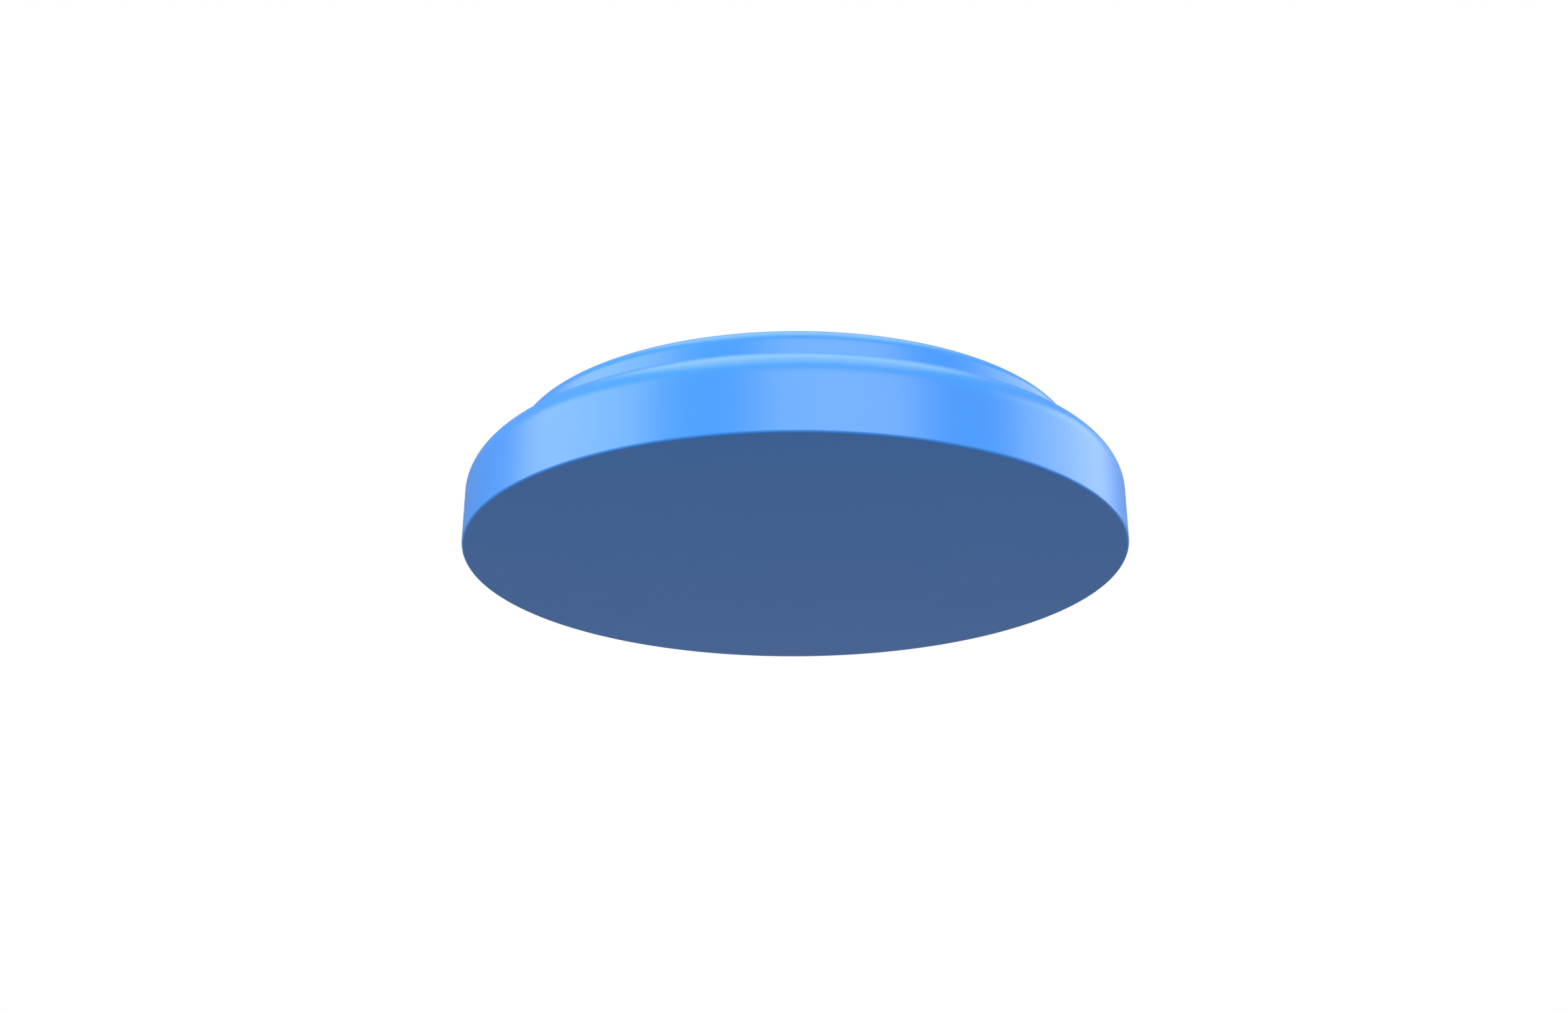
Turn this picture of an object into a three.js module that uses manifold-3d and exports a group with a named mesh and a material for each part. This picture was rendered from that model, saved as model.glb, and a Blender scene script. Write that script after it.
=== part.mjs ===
// A contactless transit token: two welded plastic shells round a small antenna board and a steel weight.
// Millimetres, +Z up. The origin is the centre of the flat underside, and the narrow tier points up.

import * as THREE from 'three';
import { mergeVertices } from 'three/addons/utils/BufferGeometryUtils.js';
import Module from 'manifold-3d';

// ---------- driving dimensions ----------

const TOKEN_R = 15; // outer radius of the lower tier
const BASE_HEIGHT = 3.85; // height of the lower tier
const SHOULDER_R = 1.4; // rounding between the rim and the lower tier's top
const FOOT_EDGE_R = 0.12; // rounding at the underside's edge
const TIER_R = 13; // radius of the upper tier
const TIER_HEIGHT = 1.65; // how far the upper tier stands above the lower one
const TIER_EDGE_R = 0.65; // rounding at the upper tier's top edge

const FLOOR_T = 1; // thickness of the base shell's floor
const SKIRT_T = 1; // thickness of the cap's skirt
const WELD_LEDGE_Z = 2.35; // height of the ledge that the cap's skirt is welded to
const CAP_PLATE_T = 1.2; // thickness of the cap's plate
const SLIP = 0.03; // clearance between parts that only locate each other

const WIRE_R = 0.11; // radius of the coil's enamelled wire
const COIL_TURNS = 5;
const COIL_INNER_R = 10; // radius of the coil's first turn
const COIL_PITCH = 0.28; // distance from turn to turn

const FILM_T = 0.1; // adhesive film
const BOARD_T = 0.4; // inlay board
const COPPER_T = 0.05; // copper tracks
const INNER_TRACK = { inner: 6.9, outer: 7.5 };
const OUTER_TRACK = { inner: 8.5, outer: 9.1 };
const TRACK_FROM = -12; // angles along the board, in degrees
const TRACK_TO = 48;
const CAPACITOR_ANGLE = 20;
const COIL_START_ANGLE = 33;
const COIL_END_ANGLE = 42;

const ROUND_STEPS = 64; // facets round the shells
const SMALL_STEPS = 48; // facets round the parts inside

// ---------- sizes that follow ----------

const TOKEN_HEIGHT = BASE_HEIGHT + TIER_HEIGHT;
const CAVITY_R = TIER_R - SKIRT_T;
const CEILING_Z = TOKEN_HEIGHT - CAP_PLATE_T;
const BOARD_Z = FLOOR_T + FILM_T;
const BOARD_TOP_Z = BOARD_Z + BOARD_T;
const TRACK_TOP_Z = BOARD_TOP_Z + COPPER_T;
const OUTER_TRACK_R = (OUTER_TRACK.inner + OUTER_TRACK.outer) / 2;
const INNER_TRACK_R = (INNER_TRACK.inner + INNER_TRACK.outer) / 2;

// ---------- helpers ----------

const radians = THREE.MathUtils.degToRad;

// Points of an arc, both ends included.
function arc(centreX, centreY, radius, fromDegrees, toDegrees, steps) {
  const points = [];
  for (let i = 0; i <= steps; i++) {
    const angle = radians(fromDegrees + ((toDegrees - fromDegrees) * i) / steps);
    points.push([centreX + radius * Math.cos(angle), centreY + radius * Math.sin(angle)]);
  }
  return points;
}

// A round solid from [radius, height] points that run anticlockwise, and close on the axis or on themselves.
function turned(profile, steps) {
  const points = profile.map(([radius, height]) => new THREE.Vector2(radius, height));
  if (profile[0][0] > 0) points.push(points[0].clone());
  return new THREE.LatheGeometry(points, steps);
}

// A washer-shaped solid.
function ring(innerR, outerR, bottomZ, topZ) {
  return turned([[innerR, bottomZ], [outerR, bottomZ], [outerR, topZ], [innerR, topZ]], SMALL_STEPS);
}

// LatheGeometry turns about Y, so its solids are stood up to turn about Z.
function upright(geometry) {
  return geometry.rotateX(Math.PI / 2);
}

// A flat outline of [x, y] points, extruded upwards.
function plate(outline, bottomZ, thickness, holes = []) {
  const shape = new THREE.Shape(outline.map(([x, y]) => new THREE.Vector2(x, y)));
  for (const hole of holes) {
    shape.holes.push(new THREE.Path(hole.map(([x, y]) => new THREE.Vector2(x, y))));
  }
  const geometry = new THREE.ExtrudeGeometry(shape, { depth: thickness, bevelEnabled: false });
  return geometry.translate(0, 0, bottomZ);
}

// A box centred at a radius and an angle, with its length along the radius.
function radialBox(length, width, height, radius, degrees, bottomZ) {
  const box = new THREE.BoxGeometry(length, width, height);
  return box.translate(radius, 0, bottomZ + height / 2).rotateZ(radians(degrees));
}

const manifold = await Module();
manifold.setup();

function toSolid(geometry) {
  const bare = geometry.clone();
  bare.deleteAttribute('normal');
  bare.deleteAttribute('uv');
  const merged = mergeVertices(bare);
  const mesh = new manifold.Mesh({
    numProp: 3,
    vertProperties: new Float32Array(merged.attributes.position.array),
    triVerts: new Uint32Array(merged.index.array),
  });
  return new manifold.Manifold(mesh);
}

function toGeometry(solid) {
  const mesh = solid.getMesh();
  const geometry = new THREE.BufferGeometry();
  geometry.setAttribute('position', new THREE.BufferAttribute(mesh.vertProperties, 3));
  geometry.setIndex(new THREE.BufferAttribute(mesh.triVerts, 1));
  geometry.computeVertexNormals();
  return geometry;
}

const group = new THREE.Group();

function add(name, geometry, look) {
  const mesh = new THREE.Mesh(geometry, new THREE.MeshStandardMaterial(look));
  mesh.name = name;
  group.add(mesh);
}

const BLUE_ABS = { color: 0x388ce4, roughness: 0.4, metalness: 0 };
const SOLDER = { color: 0xc9cbce, roughness: 0.3, metalness: 1 };
const COPPER = { color: 0xc77b4a, roughness: 0.35, metalness: 1 };
const TIN = { color: 0xd5d6d8, roughness: 0.4, metalness: 1 };

// ---------- base shell ----------

const KEY = { inner: 11.5, width: 1.2, angle: 180, sunk: 0.5 }; // stops the board from turning
const FENCE = { inner: 5.7, outer: 6.1, top: 2.2 }; // keeps the weight away from the board
const POST = { radius: 1.5, top: 2.4 }; // centres the weight

function baseShell() {
  const shoulderX = TOKEN_R - SHOULDER_R;
  const mouthR = TIER_R + SLIP;
  const shell = turned([
    [0, 0],
    ...arc(TOKEN_R - FOOT_EDGE_R, FOOT_EDGE_R, FOOT_EDGE_R, -90, 0, 2),
    ...arc(shoulderX, BASE_HEIGHT - SHOULDER_R, SHOULDER_R, 0, 90, 6),
    [mouthR, BASE_HEIGHT],
    [mouthR, WELD_LEDGE_Z],
    [CAVITY_R, WELD_LEDGE_Z],
    [CAVITY_R, FLOOR_T],
    [FENCE.outer, FLOOR_T],
    [FENCE.outer, FENCE.top],
    [FENCE.inner, FENCE.top],
    [FENCE.inner, FLOOR_T],
    [POST.radius, FLOOR_T],
    [POST.radius, POST.top],
    [0, POST.top],
  ], ROUND_STEPS);
  const keyLength = CAVITY_R - KEY.inner + KEY.sunk;
  const keyBottom = FLOOR_T - KEY.sunk;
  const keyHeight = WELD_LEDGE_Z - keyBottom;
  const key = radialBox(keyLength, KEY.width, keyHeight, KEY.inner + keyLength / 2, KEY.angle, keyBottom);
  return toGeometry(toSolid(upright(shell)).add(toSolid(key)));
}
add('base_shell', baseShell(), BLUE_ABS);

// ---------- top cap ----------

const RELIEF = 0.25; // depth of the field below the top land
const EMBOSS = 0.17; // height of the raised pattern above the field
const LAND_INNER_R = 10.9;
const DRAFT = 0.1; // slope of each raised step's side
const EMBOSSED_RING = { inner: 7.6, outer: 8.2 };
const CENTRE_DISC_R = 3.6;
const HOLD_DOWN = { inner: 3.4, outer: 4.4, bottom: 2.65 }; // presses on the weight
const FOAM_FENCE = { inner: 5.8, outer: 6.2, bottom: 3.9 }; // centres the foam

function topCap() {
  const fieldZ = TOKEN_HEIGHT - RELIEF;
  const embossZ = fieldZ + EMBOSS;
  const cap = turned([
    [0, CEILING_Z],
    [HOLD_DOWN.inner, CEILING_Z],
    [HOLD_DOWN.inner, HOLD_DOWN.bottom],
    [HOLD_DOWN.outer, HOLD_DOWN.bottom],
    [HOLD_DOWN.outer, CEILING_Z],
    [FOAM_FENCE.inner, CEILING_Z],
    [FOAM_FENCE.inner, FOAM_FENCE.bottom],
    [FOAM_FENCE.outer, FOAM_FENCE.bottom],
    [FOAM_FENCE.outer, CEILING_Z],
    [CAVITY_R, CEILING_Z],
    [CAVITY_R, WELD_LEDGE_Z],
    [TIER_R, WELD_LEDGE_Z],
    ...arc(TIER_R - TIER_EDGE_R, TOKEN_HEIGHT - TIER_EDGE_R, TIER_EDGE_R, 0, 90, 5),
    [LAND_INNER_R, TOKEN_HEIGHT],
    [LAND_INNER_R - DRAFT, fieldZ],
    [EMBOSSED_RING.outer + DRAFT, fieldZ],
    [EMBOSSED_RING.outer, embossZ],
    [EMBOSSED_RING.inner, embossZ],
    [EMBOSSED_RING.inner - DRAFT, fieldZ],
    [CENTRE_DISC_R + DRAFT, fieldZ],
    [CENTRE_DISC_R, embossZ],
    [0, embossZ],
  ], ROUND_STEPS);
  return upright(cap);
}
add('top_cap', topCap(), BLUE_ABS);

// ---------- inlay board with its film and tracks ----------

const BOARD = { inner: 6.3, outer: 11.8, notchInner: 11.35, notchWidth: 1.5 };
const FILM_INSET = 0.1; // how far the film stays back from the board's hole and from the key
const TRACK_STEPS = 10;

function boardOutline() {
  const halfNotch = THREE.MathUtils.radToDeg(Math.asin(BOARD.notchWidth / 2 / BOARD.outer));
  const rim = arc(0, 0, BOARD.outer, KEY.angle + halfNotch, KEY.angle + 360 - halfNotch, SMALL_STEPS);
  const notch = [[-BOARD.notchInner, BOARD.notchWidth / 2], [-BOARD.notchInner, -BOARD.notchWidth / 2]];
  return [...rim, ...notch];
}

function trackOutline(track) {
  const outside = arc(0, 0, track.outer, TRACK_FROM, TRACK_TO, TRACK_STEPS);
  const inside = arc(0, 0, track.inner, TRACK_TO, TRACK_FROM, TRACK_STEPS);
  return [...outside, ...inside];
}

const boardHole = arc(0, 0, BOARD.inner, 0, 360, SMALL_STEPS).slice(1);
const board = plate(boardOutline(), BOARD_Z, BOARD_T, [boardHole]);
const FR4 = { color: 0x2f6b3c, roughness: 0.5, metalness: 0 };
const FILM = { color: 0xe8e2cf, roughness: 0.6, metalness: 0 };
const film = ring(BOARD.inner + FILM_INSET, KEY.inner - FILM_INSET, FLOOR_T, BOARD_Z);
add('adhesive_film', upright(film), FILM);
add('inlay_board', board, FR4);
add('inner_track', plate(trackOutline(INNER_TRACK), BOARD_TOP_Z, COPPER_T), COPPER);
add('outer_track', plate(trackOutline(OUTER_TRACK), BOARD_TOP_Z, COPPER_T), COPPER);

// ---------- antenna coil ----------

// The wire leaves the outer track, lies flat for five turns, then rises, turns inwards over the turns and
// comes down on the inner track.
const WIRE_GAP = 0.02;
const COIL_Z = BOARD_TOP_Z + WIRE_R + WIRE_GAP;
const LEAD_Z = TRACK_TOP_Z + WIRE_R + WIRE_GAP;
const BRIDGE_Z = COIL_Z + 2 * WIRE_R + 2 * WIRE_GAP;
const BEND_R = 0.8;
const BEND_ANGLE = THREE.MathUtils.radToDeg(BEND_R / COIL_INNER_R);
const RISE = { from: 30, to: 10 }; // degrees before the last bend between which the wire climbs
const START_INSET = 0.1; // how far the first end reaches past the middle of the outer track
const BRIDGE_R = { outer: 9.4, inner: 8.5 }; // where the lead over the turns is straight and level
const LANDING = { touch: 0.2, end: 0.25, lift: 0.02 }; // the last end's reach on the inner track
const PATH_STEP = 10; // degrees between the path's points
const COIL_SECTIONS = 250; // sections of wire along the path

function onBoard(radius, degrees, z) {
  return new THREE.Vector3(radius * Math.cos(radians(degrees)), radius * Math.sin(radians(degrees)), z);
}

// Points of a quarter bend between a radial and a tangential stretch. It starts at the radial stretch.
function quarterBend(radialR, radialAngle, tangentR, sweep, z) {
  const points = [];
  for (const share of [0, 1 / 3, 2 / 3]) {
    const turn = (share * Math.PI) / 2;
    const radius = radialR + (tangentR - radialR) * Math.sin(turn);
    points.push(onBoard(radius, radialAngle + sweep * (1 - Math.cos(turn)), z));
  }
  return points;
}

function coilPath() {
  const first = COIL_START_ANGLE + BEND_ANGLE;
  const last = COIL_END_ANGLE - BEND_ANGLE + 360 * COIL_TURNS;
  const radiusAt = (degrees) => COIL_INNER_R + (COIL_PITCH * (degrees - first)) / 360;
  const points = [onBoard(OUTER_TRACK_R - START_INSET, COIL_START_ANGLE, LEAD_Z)];
  points.push(...quarterBend(COIL_INNER_R - BEND_R, COIL_START_ANGLE, COIL_INNER_R, BEND_ANGLE, COIL_Z));
  const steps = Math.round((last - first) / PATH_STEP);
  for (let i = 0; i <= steps; i++) {
    const degrees = first + ((last - first) * i) / steps;
    const rise = THREE.MathUtils.smoothstep(degrees, last - RISE.from, last - RISE.to);
    points.push(onBoard(radiusAt(degrees), degrees, COIL_Z + (BRIDGE_Z - COIL_Z) * rise));
  }
  const outerR = radiusAt(last);
  const bend = quarterBend(outerR - BEND_R, COIL_END_ANGLE, outerR, -BEND_ANGLE, BRIDGE_Z);
  points.push(...bend.reverse());
  points.push(onBoard(BRIDGE_R.outer, COIL_END_ANGLE, BRIDGE_Z));
  points.push(onBoard(BRIDGE_R.inner, COIL_END_ANGLE, BRIDGE_Z));
  points.push(onBoard(INNER_TRACK_R + LANDING.touch, COIL_END_ANGLE, LEAD_Z + LANDING.lift));
  points.push(onBoard(INNER_TRACK_R - LANDING.end, COIL_END_ANGLE, LEAD_Z));
  const path = new THREE.CatmullRomCurve3(points, false, 'centripetal');
  path.arcLengthDivisions = COIL_SECTIONS * 12;
  return path;
}

function antennaCoil() {
  const section = new THREE.Shape(arc(0, 0, WIRE_R, 0, 300, 5).map(([x, y]) => new THREE.Vector2(x, y)));
  return new THREE.ExtrudeGeometry(section, { steps: COIL_SECTIONS, extrudePath: coilPath() });
}
add('antenna_coil', antennaCoil(), { color: 0xb5562a, roughness: 0.3, metalness: 1 });

// ---------- solder joints at the coil's two ends ----------

const SEAT = 0.01; // clearance under the parts that lie on the tracks
const JOINT = { radius: 0.4, height: 0.42, steps: 12 };

function coilJoint(radius, degrees) {
  const dome = turned([
    [0, 0],
    [JOINT.radius, 0],
    [JOINT.radius * 0.8, JOINT.height * 0.55],
    [JOINT.radius * 0.35, JOINT.height * 0.95],
    [0, JOINT.height],
  ], JOINT.steps);
  const seated = upright(dome).translate(radius, 0, TRACK_TOP_Z + SEAT).rotateZ(radians(degrees));
  const slotLength = 4 * JOINT.radius;
  const slotWidth = 2 * (WIRE_R + SLIP);
  const slotTop = LEAD_Z + WIRE_R + SLIP;
  const slotBottom = BOARD_TOP_Z;
  const slot = radialBox(slotLength, slotWidth, slotTop - slotBottom, radius, degrees, slotBottom);
  return toGeometry(toSolid(seated).subtract(toSolid(slot)));
}
add('solder_coil_start', coilJoint(OUTER_TRACK_R, COIL_START_ANGLE), SOLDER);
add('solder_coil_end', coilJoint(INNER_TRACK_R, COIL_END_ANGLE), SOLDER);

// ---------- chip and its epoxy glob ----------

const CHIP = { radius: 8, side: 0.8, thickness: 0.15 };
const GLOB = { radius: 1.3, height: 0.6, steps: 24, sideGap: 0.05, topGap: 0.05 };

function chipGlob() {
  const bottomZ = TRACK_TOP_Z + SEAT;
  const capR = (GLOB.radius ** 2 + GLOB.height ** 2) / (2 * GLOB.height);
  const edgeAngle = THREE.MathUtils.radToDeg(Math.asin((capR - GLOB.height) / capR));
  const dome = turned([[0, 0], ...arc(0, GLOB.height - capR, capR, edgeAngle, 90, 5)], GLOB.steps);
  const pocketSide = CHIP.side + 2 * GLOB.sideGap;
  const pocketTop = BOARD_TOP_Z + CHIP.thickness + GLOB.topGap;
  const pocket = radialBox(pocketSide, pocketSide, pocketTop - BOARD_TOP_Z, CHIP.radius, 0, BOARD_TOP_Z);
  const seated = upright(dome).translate(CHIP.radius, 0, bottomZ);
  return toGeometry(toSolid(seated).subtract(toSolid(pocket)));
}
const die = radialBox(CHIP.side, CHIP.side, CHIP.thickness, CHIP.radius, 0, BOARD_TOP_Z);
add('chip_die', die, { color: 0x4a4c55, roughness: 0.2, metalness: 0.5 });
add('chip_glob', chipGlob(), { color: 0x16161a, roughness: 0.35, metalness: 0 });

// ---------- tuning capacitor ----------

const CAPACITOR = { length: 1.6, width: 0.8, height: 0.6, terminal: 0.3 };
const TERMINAL_T = 0.02; // how far the terminals stand proud of the ceramic body
const FILLET = { reach: 0.22, climb: 0.38, inset: 0.05 };

function capacitorPart(innerR, outerR, width, height) {
  const length = outerR - innerR - SEAT;
  const middleR = (innerR + outerR) / 2;
  return radialBox(length, width, height, middleR, CAPACITOR_ANGLE, TRACK_TOP_Z + SEAT);
}

// A solder fillet: a wedge that climbs the terminal's end. direction is 1 away from the axis, -1 towards it.
function capacitorFillet(terminalR, direction) {
  const width = CAPACITOR.width - 2 * FILLET.inset;
  const start = terminalR + direction * SEAT;
  const profile = [[start, 0], [start + direction * FILLET.reach, 0], [start, FILLET.climb]];
  if (direction < 0) profile.reverse();
  const wedge = plate(profile, 0, width).rotateX(Math.PI / 2).translate(0, width / 2, TRACK_TOP_Z + SEAT);
  return wedge.rotateZ(radians(CAPACITOR_ANGLE));
}

const innerEnd = (INNER_TRACK_R + OUTER_TRACK_R - CAPACITOR.length) / 2;
const outerEnd = innerEnd + CAPACITOR.length;
const bodyInner = innerEnd + CAPACITOR.terminal;
const bodyOuter = outerEnd - CAPACITOR.terminal;
const bodyWidth = CAPACITOR.width - 2 * TERMINAL_T;
const ceramic = capacitorPart(bodyInner, bodyOuter, bodyWidth, CAPACITOR.height - 2 * TERMINAL_T);
const innerTerminal = capacitorPart(innerEnd, bodyInner, CAPACITOR.width, CAPACITOR.height);
const outerTerminal = capacitorPart(bodyOuter, outerEnd, CAPACITOR.width, CAPACITOR.height);
add('tuning_capacitor', ceramic, { color: 0xb08a62, roughness: 0.5, metalness: 0 });
add('capacitor_terminal_inner', innerTerminal, TIN);
add('capacitor_terminal_outer', outerTerminal, TIN);
add('solder_capacitor_inner', capacitorFillet(innerEnd, -1), SOLDER);
add('solder_capacitor_outer', capacitorFillet(outerEnd, 1), SOLDER);

// ---------- foam ring ----------

const FOAM = { inner: 6.4, outer: 11.4, bottom: 2.25 };
const foam = ring(FOAM.inner, FOAM.outer, FOAM.bottom, CEILING_Z - SLIP);
add('foam_ring', upright(foam), { color: 0x55585c, roughness: 0.95, metalness: 0 });

// ---------- ballast washer ----------

const WASHER = { inner: 1.6, outer: 5.5, thickness: 1.6, chamfer: 0.2 };

function ballastWasher() {
  const topZ = FLOOR_T + WASHER.thickness;
  return upright(turned([
    [WASHER.inner, FLOOR_T],
    [WASHER.outer - WASHER.chamfer, FLOOR_T],
    [WASHER.outer, FLOOR_T + WASHER.chamfer],
    [WASHER.outer, topZ - WASHER.chamfer],
    [WASHER.outer - WASHER.chamfer, topZ],
    [WASHER.inner, topZ],
  ], SMALL_STEPS));
}
add('ballast_washer', ballastWasher(), { color: 0xb9bcc0, roughness: 0.35, metalness: 1 });

export default group;
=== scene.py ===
"""A contactless transit token: two welded shells of blue ABS round an antenna board and a steel weight."""

import math

import bmesh
import bpy
from mathutils import Matrix, Vector


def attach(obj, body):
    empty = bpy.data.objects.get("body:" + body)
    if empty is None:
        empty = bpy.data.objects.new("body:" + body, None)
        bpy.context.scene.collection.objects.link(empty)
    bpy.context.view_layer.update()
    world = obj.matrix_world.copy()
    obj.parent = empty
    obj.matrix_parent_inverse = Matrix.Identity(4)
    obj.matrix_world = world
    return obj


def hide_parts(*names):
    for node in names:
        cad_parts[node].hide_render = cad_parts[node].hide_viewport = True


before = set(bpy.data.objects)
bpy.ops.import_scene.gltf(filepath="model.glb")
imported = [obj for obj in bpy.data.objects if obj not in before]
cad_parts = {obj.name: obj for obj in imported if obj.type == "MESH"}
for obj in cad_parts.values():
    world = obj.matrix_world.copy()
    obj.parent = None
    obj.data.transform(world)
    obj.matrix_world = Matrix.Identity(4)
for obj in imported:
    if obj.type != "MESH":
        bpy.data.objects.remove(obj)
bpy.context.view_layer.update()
MM = 0.001


# Camera. It stands in front of the token and below its rim, so that the flat underside, the rim and the
# narrow tier all show. The lens is short and close, and is turned a little off the token's middle.
CAMERA_DISTANCE = 76.35 * MM
CAMERA_BELOW = 19.33
AIM_UP, AIM_LEFT, AIM_ROLL = 1.99, 0.37, 0.17

below = math.radians(CAMERA_BELOW)
camera_data = bpy.data.cameras.new("camera")
camera_data.sensor_width = 36
camera_data.lens = 38.35
camera_data.clip_start = 1 * MM
camera_data.clip_end = 10
camera = bpy.data.objects.new("camera", camera_data)
towards_token = Matrix.Rotation(math.radians(90 + CAMERA_BELOW), 4, "X")
off_centre = (
    Matrix.Rotation(math.radians(AIM_LEFT), 4, "Y")
    @ Matrix.Rotation(math.radians(AIM_UP), 4, "X")
    @ Matrix.Rotation(math.radians(-AIM_ROLL), 4, "Z")
)
standpoint = (0, -CAMERA_DISTANCE * math.cos(below), -CAMERA_DISTANCE * math.sin(below))
camera.matrix_world = Matrix.Translation(standpoint) @ towards_token @ off_centre
bpy.context.scene.collection.objects.link(camera)
bpy.context.scene.camera = camera
bpy.context.scene.view_settings.view_transform = "Standard"


# Studio. An even soft light comes from all round. Three square softboxes stand a quarter turn apart round
# the token, the right one dimmer than the others, and a fourth of the same size hangs straight overhead.
# All the light is white, and so is the backdrop.
def node(tree, kind, settings=None, **inputs):
    """Adds a shader node. settings are its properties; inputs are its sockets by name, as values or links."""
    made = tree.nodes.new(kind)
    for name, value in (settings or {}).items():
        setattr(made, name, value)
    for name, value in inputs.items():
        key = int(name[1:]) if name[0] == "_" else name.replace("_", " ")
        socket = made.inputs[key]
        if isinstance(value, bpy.types.NodeSocket):
            tree.links.new(value, socket)
        else:
            socket.default_value = value
    return made


def linear(hex_colour):
    """An sRGB hex colour as linear red, green, blue and alpha."""
    parts = [int(hex_colour[i : i + 2], 16) / 255 for i in (1, 3, 5)]
    return [p / 12.92 if p <= 0.04045 else ((p + 0.055) / 1.055) ** 2.4 for p in parts] + [1]


LIGHT_ALL_ROUND = 0.3

world = bpy.data.worlds.new("studio")
bpy.context.scene.world = world
world.use_nodes = True
sky = world.node_tree
sky.nodes.clear()
lit = node(sky, "ShaderNodeBackground", Color=(1, 1, 1, 1), Strength=LIGHT_ALL_ROUND)
seen = node(sky, "ShaderNodeBackground", Color=(1, 1, 1, 1), Strength=1.0)
rays = node(sky, "ShaderNodeLightPath")
is_seen = rays.outputs["Is Camera Ray"]
mixed = node(sky, "ShaderNodeMixShader", _0=is_seen, _1=lit.outputs[0], _2=seen.outputs[0])
node(sky, "ShaderNodeOutputWorld", Surface=mixed.outputs[0])

LAMP_DISTANCE = 3
SOFTBOX_HALF_ANGLE = 25
SOFTBOX_RAISED = 15
FRONT_TURNED = 165
QUARTER = 90
LEFT_GLOW, FRONT_GLOW, RIGHT_GLOW, OVERHEAD_GLOW = 3.5, 3.5, 2.5, 2


def softbox(name, turned, raised, glow):
    """A soft square lamp that faces the token. The angles are in degrees as the token sees it: turned from
    the far side towards the right, raised from the horizon. glow is its brightness, with 1 as white."""
    lamp = bpy.data.lights.new(name, "AREA")
    lamp.shape = "SQUARE"
    lamp.size = 2 * LAMP_DISTANCE * math.tan(math.radians(SOFTBOX_HALF_ANGLE))
    lamp.energy = glow * lamp.size**2 * math.pi
    light = bpy.data.objects.new(name, lamp)
    around, up = math.radians(turned), math.radians(raised)
    towards = Vector((math.sin(around) * math.cos(up), math.cos(around) * math.cos(up), math.sin(up)))
    light.rotation_mode = "QUATERNION"
    light.rotation_quaternion = towards.to_track_quat("Z", "Y")
    light.location = towards * LAMP_DISTANCE
    light.visible_camera = False
    bpy.context.scene.collection.objects.link(light)


softbox("left_softbox", FRONT_TURNED + QUARTER, SOFTBOX_RAISED, LEFT_GLOW)
softbox("front_softbox", FRONT_TURNED, SOFTBOX_RAISED, FRONT_GLOW)
softbox("right_softbox", FRONT_TURNED - QUARTER, SOFTBOX_RAISED, RIGHT_GLOW)
softbox("overhead_softbox", 0, QUARTER, OVERHEAD_GLOW)


# Floor. A plain pale sheet just under the token. It is one-sided: from above it is a matt floor, and from
# below it is not there, so the underside can be seen and lit. Far off it fades into the white backdrop.
FLOOR_GAP = 0.05 * MM
FLOOR_R = 1.2
FADE_FROM_R, FADE_TO_R = 0.1, 0.9

bpy.ops.object.select_all(action="DESELECT")
bpy.ops.mesh.primitive_circle_add(vertices=128, radius=FLOOR_R, fill_type="NGON", location=(0, 0, -FLOOR_GAP))
floor = bpy.context.object
floor.name = "floor"
bpy.ops.object.transform_apply(location=True, rotation=True, scale=True)
floor_paint = bpy.data.materials.new("pale_floor_paint")
floor_paint.use_nodes = True
tree = floor_paint.node_tree
tree.nodes.clear()
place = node(tree, "ShaderNodeTexCoord").outputs["Object"]
soft_step = {"interpolation_type": "SMOOTHSTEP"}
far = node(tree, "ShaderNodeVectorMath", {"operation": "LENGTH"}, Vector=place).outputs["Value"]
fade = node(tree, "ShaderNodeMapRange", soft_step, Value=far, From_Min=FADE_FROM_R, From_Max=FADE_TO_R)
paint = node(tree, "ShaderNodeBsdfDiffuse", Color=linear("#DEDEDE"))
white = node(tree, "ShaderNodeEmission", Color=(1, 1, 1, 1), Strength=1.0)
faded = node(tree, "ShaderNodeMixShader", _0=fade.outputs[0], _1=paint.outputs[0], _2=white.outputs[0])
clear = node(tree, "ShaderNodeBsdfTransparent")
facing = node(tree, "ShaderNodeNewGeometry").outputs["Backfacing"]
one_sided = node(tree, "ShaderNodeMixShader", _0=facing, _1=faded.outputs[0], _2=clear.outputs[0])
node(tree, "ShaderNodeOutputMaterial", Surface=one_sided.outputs[0])
floor.data.materials.append(floor_paint)
floor.visible_diffuse = floor.visible_glossy = floor.visible_transmission = floor.visible_shadow = False


# Base shell. The wide lower half, injection moulded in blue ABS: a plain underside, an upright rim and a
# generously rounded shoulder. Its mouth takes the cap, and its floor holds the board and the weight.
TOKEN_R = 15 * MM
BASE_HEIGHT = 3.85 * MM
SHOULDER_R = 1.4 * MM
FOOT_EDGE_R = 0.12 * MM
MOUTH_R = 13.03 * MM
LEDGE_Z = 2.35 * MM
CAVITY_R = 12 * MM
FLOOR_Z = 1 * MM
KEY_R = 11.5 * MM
KEY_HALF_ANGLE = 2.9
FENCE_OUTER_R, FENCE_INNER_R, FENCE_Z = 6.1 * MM, 5.7 * MM, 2.2 * MM
POST_R, POST_Z = 1.5 * MM, 2.4 * MM
ROUND_SIDES = 256
MOULD_EDGE = 0.04 * MM


def round_bar(name, radius, low, high, sides=ROUND_SIDES):
    """Starts a turned piece: an upright cylinder, alone selected, with its object at the origin."""
    bpy.ops.object.select_all(action="DESELECT")
    bpy.ops.mesh.primitive_cylinder_add(
        vertices=sides, radius=radius, depth=high - low, location=(0, 0, (low + high) / 2)
    )
    piece = bpy.context.object
    piece.name = piece.data.name = name
    bpy.ops.object.transform_apply(location=True, rotation=True, scale=True)
    return piece


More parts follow.
